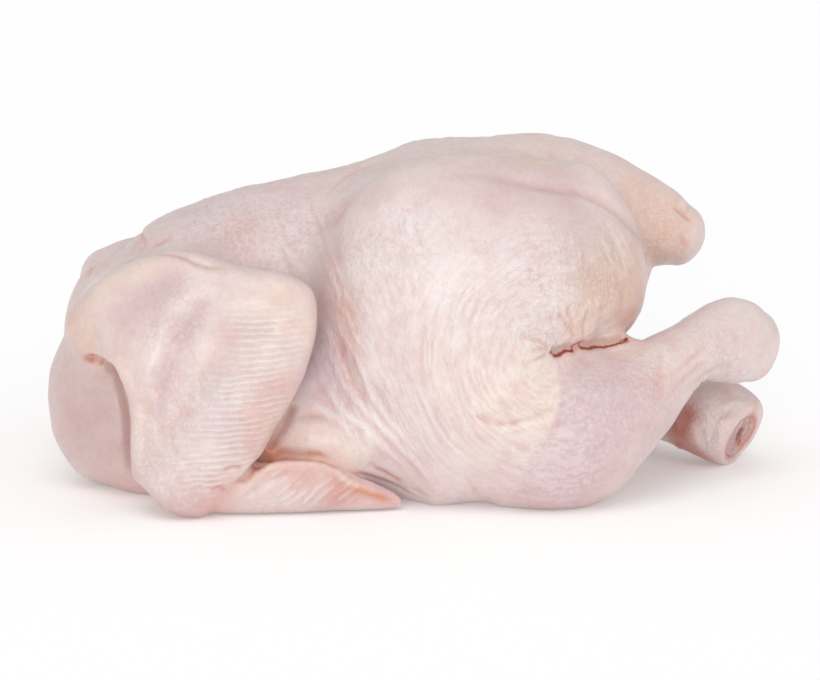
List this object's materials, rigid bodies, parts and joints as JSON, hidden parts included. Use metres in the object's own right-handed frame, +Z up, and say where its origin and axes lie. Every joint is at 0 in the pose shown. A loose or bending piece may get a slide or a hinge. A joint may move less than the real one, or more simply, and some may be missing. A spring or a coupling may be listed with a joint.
{
  "type": "whole raw chicken",
  "caption": "Plucked and dressed raw chicken lying on its breast, with wings folded against its sides and the cut ends of its shanks crossed behind it.",
  "frame": {"origin": "centre of the bird's bounding box on the surface it rests on", "axes": "+X along the bird towards its tail and shanks, +Z up towards its back, its left side to -Y"},
  "size_m": [0.261, 0.1716, 0.1206],
  "materials": {
    "skin": "moist raw skin over flesh and fat",
    "bone": "wet joint cartilage on bone"
  },
  "bodies": {
    "root": {"chicken": "skin", "left_leg_bone": "bone", "right_leg_bone": "bone"}
  },
  "joints": []
}
